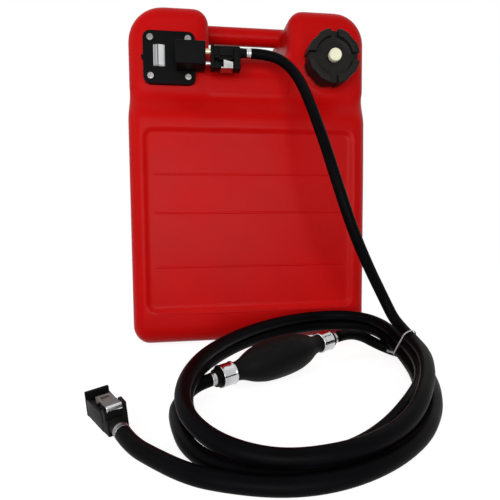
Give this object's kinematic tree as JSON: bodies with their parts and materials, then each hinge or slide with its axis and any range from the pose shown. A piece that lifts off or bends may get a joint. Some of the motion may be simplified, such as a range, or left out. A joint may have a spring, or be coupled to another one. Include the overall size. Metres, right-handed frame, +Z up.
{
  "type": "outboard fuel tank",
  "caption": "Upright moulded fuel tank for an outboard engine, with a screw cap and vent, a gauge and outlet plate, quick connectors, a coiled hose and a priming bulb.",
  "frame": {"origin": "middle of the tank's flat foot, on the surface that the tank stands on", "axes": "+Z up, -Y out of the broad face with the gauge plate and the cap, +X from the gauge plate to the cap"},
  "size_m": [0.3857, 0.5635, 0.488],
  "materials": {
    "red_plastic": "satin",
    "black_plastic": "satin",
    "black_moulding": "matt",
    "seal_rubber": "matt",
    "ivory_plastic": "satin",
    "stainless": "satin",
    "brass": "polished",
    "clear_plastic": "clear",
    "white_plastic": "satin",
    "float_foam": "matt",
    "hose_rubber": "satin",
    "tie_plastic": "satin"
  },
  "bodies": {
    "tank": {"tank_shell": "red_plastic", "plate_gasket": "seal_rubber", "gauge_plate": "black_plastic", "plate_screws": "stainless", "gauge_lens": "clear_plastic", "lens_gasket": "seal_rubber", "float_guide": "white_plastic", "pickup_tube": "black_plastic", "pickup_strainer": "white_plastic", "outlet_block": "black_plastic", "outlet_nipple": "brass", "guide_pin": "stainless", "nipple_seal": "seal_rubber", "feed_flange": "black_plastic", "feed_body": "black_plastic", "feed_latch_pin": "stainless", "feed_latch_spring": "stainless", "feed_poppet_spring": "stainless", "feed_barb": "brass", "feed_crimp": "stainless", "engine_flange": "black_plastic", "engine_body": "black_plastic", "engine_latch_pin": "stainless", "engine_latch_spring": "stainless", "engine_poppet_spring": "stainless", "engine_barb": "brass", "engine_crimp": "stainless", "bulb": "hose_rubber", "bulb_ferrules": "stainless", "bulb_tails": "black_plastic", "bulb_crimps": "stainless", "hose_coil": "hose_rubber", "hose_tank_lead": "hose_rubber", "hose_bulb_inlet": "hose_rubber", "hose_bulb_outlet": "hose_rubber", "hose_engine_lead": "hose_rubber", "twist_tie": "tie_plastic"},
    "cap_seal": {"cap_gasket": "seal_rubber"},
    "cap": {"filler_cap": "black_moulding"},
    "vent_seal": {"vent_seal": "seal_rubber"},
    "vent_screw": {"vent_screw": "ivory_plastic"},
    "gauge": {"gauge_disc": "white_plastic", "gauge_spindle": "stainless"},
    "float": {"gauge_float": "float_foam"},
    "feed_latch": {"feed_latch": "stainless"},
    "feed_poppet": {"feed_poppet": "brass"},
    "engine_latch": {"engine_latch": "stainless"},
    "engine_poppet": {"engine_poppet": "brass"},
    "inlet_disc": {"inlet_valve_disc": "white_plastic"},
    "outlet_disc": {"outlet_valve_disc": "white_plastic"}
  },
  "joints": [
    {"name": "cap_rise", "type": "slide", "parent": "tank", "child": "cap_seal", "axis": [0, -1, 0], "range_m": [0, 0.012]},
    {"name": "cap_turn", "type": "hinge", "parent": "cap_seal", "child": "cap", "pos_m": [0.1155, -0.109, 0.411], "axis": [0, -1, 0], "range_deg": [0, 540]},
    {"name": "vent_rise", "type": "slide", "parent": "cap", "child": "vent_seal", "axis": [0, -1, 0], "range_m": [0, 0.002]},
    {"name": "vent_turn", "type": "hinge", "parent": "vent_seal", "child": "vent_screw", "pos_m": [0.1155, -0.1165, 0.411], "axis": [0, -1, 0], "range_deg": [0, 720]},
    {"name": "float_slide", "type": "slide", "parent": "tank", "child": "float", "axis": [0, -1, 0], "range_m": [0, 0.1]},
    {"name": "gauge_turn", "type": "hinge", "parent": "tank", "child": "gauge", "pos_m": [-0.128, -0.081, 0.411], "axis": [0, 1, 0], "range_deg": [-100, 0]},
    {"name": "feed_latch_press", "type": "hinge", "parent": "tank", "child": "feed_latch", "pos_m": [-0.0325, -0.1135, 0.3929], "axis": [0, 1, 0], "range_deg": [0, 10], "stiffness_Nm_per_rad": 0.5, "springref_deg": -2.86, "deforming": ["feed_latch_spring"]},
    {"name": "engine_latch_press", "type": "hinge", "parent": "tank", "child": "engine_latch", "pos_m": [-0.17693, -0.3181, 0.01534], "axis": [-0.907, -0.421, 0], "range_deg": [0, 10], "stiffness_Nm_per_rad": 0.5, "springref_deg": -2.86, "deforming": ["engine_latch_spring"]},
    {"name": "feed_poppet_slide", "type": "slide", "parent": "tank", "child": "feed_poppet", "axis": [1, 0, 0], "range_m": [0, 0.003], "stiffness_N_per_m": 400, "springref_m": -0.002, "deforming": ["feed_poppet_spring"]},
    {"name": "engine_poppet_slide", "type": "slide", "parent": "tank", "child": "engine_poppet", "axis": [0.4206, -0.9061, -0.0454], "range_m": [0, 0.003], "stiffness_N_per_m": 400, "springref_m": -0.002, "deforming": ["engine_poppet_spring"]},
    {"name": "inlet_disc_lift", "type": "slide", "parent": "tank", "child": "inlet_disc", "axis": [0.8851, 0.4588, 0.0785], "range_m": [0, 0.002]},
    {"name": "outlet_disc_lift", "type": "slide", "parent": "tank", "child": "outlet_disc", "axis": [-0.8851, -0.4588, -0.0785], "range_m": [0, 0.002]}
  ],
  "couplings": [
    {"joint": "cap_rise", "follows": "cap_turn", "m_per_rad": 0.0012732},
    {"joint": "vent_rise", "follows": "vent_turn", "m_per_rad": 0.00015915},
    {"joint": "gauge_turn", "follows": "float_slide", "rad_per_m": -17.453}
  ]
}
